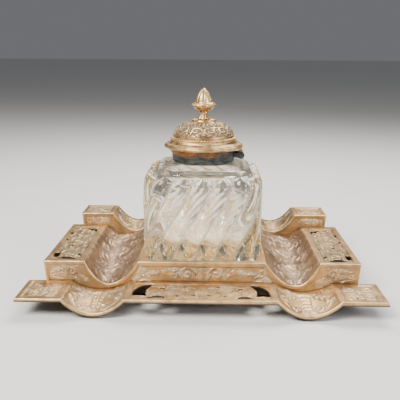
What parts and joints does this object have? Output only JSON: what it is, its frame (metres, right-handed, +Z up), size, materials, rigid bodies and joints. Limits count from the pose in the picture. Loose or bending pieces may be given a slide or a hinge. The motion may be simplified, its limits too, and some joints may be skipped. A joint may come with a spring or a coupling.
{
  "type": "desk inkstand",
  "caption": "Stepped cast brass inkstand with pierced frets and pen troughs, holding a square swirl-glass ink bottle with a hinged domed brass lid.",
  "frame": {"origin": "middle of the footprint, on the surface the stand rests on", "axes": "+Z up, front towards -Y, hinge side towards +X"},
  "size_m": [0.22, 0.139, 0.1311],
  "materials": {
    "gilt_brass": "worn satin, polished edges",
    "verdigris_brass": "dark tarnished, green in places",
    "copper_brass": "satin, coppery",
    "clear_glass": "clear, swirl-moulded",
    "plaster": "matt",
    "steel": "dull"
  },
  "bodies": {
    "stand": {"front_ledge": "gilt_brass", "front_wall": "gilt_brass", "left_deck": "gilt_brass", "right_deck": "gilt_brass", "bottle_seat": "gilt_brass", "rear_wall": "gilt_brass", "rear_ledge": "gilt_brass", "back_wall": "gilt_brass", "left_side_wall": "gilt_brass", "right_side_wall": "gilt_brass", "rear_left_wall": "gilt_brass", "rear_right_wall": "gilt_brass", "front_fret": "gilt_brass", "left_fret": "gilt_brass", "right_fret": "gilt_brass", "rear_fret": "gilt_brass", "foot_front_left": "gilt_brass", "foot_front_right": "gilt_brass", "foot_rear_left": "gilt_brass", "foot_rear_right": "gilt_brass"},
    "ink_bottle": {"bottle": "clear_glass", "neck_cement": "plaster", "neck_collar": "verdigris_brass", "collar_knuckles": "verdigris_brass", "hinge_pin": "verdigris_brass"},
    "lid": {"lid_rim": "gilt_brass", "lid_dome": "gilt_brass", "lid_liner": "gilt_brass", "lid_knuckle": "gilt_brass", "finial_boss": "gilt_brass", "finial_cup": "copper_brass", "finial_bud": "gilt_brass", "finial_rod": "steel", "finial_nut": "steel"}
  },
  "joints": [
    {"name": "bottle_lift", "type": "slide", "parent": "stand", "child": "ink_bottle", "axis": [0, 0, 1], "range_m": [0, 0.08]},
    {"name": "lid_hinge", "type": "hinge", "parent": "ink_bottle", "child": "lid", "pos_m": [0.025, 0.0036, 0.0874], "axis": [0, 1, 0], "range_deg": [0, 105]}
  ]
}
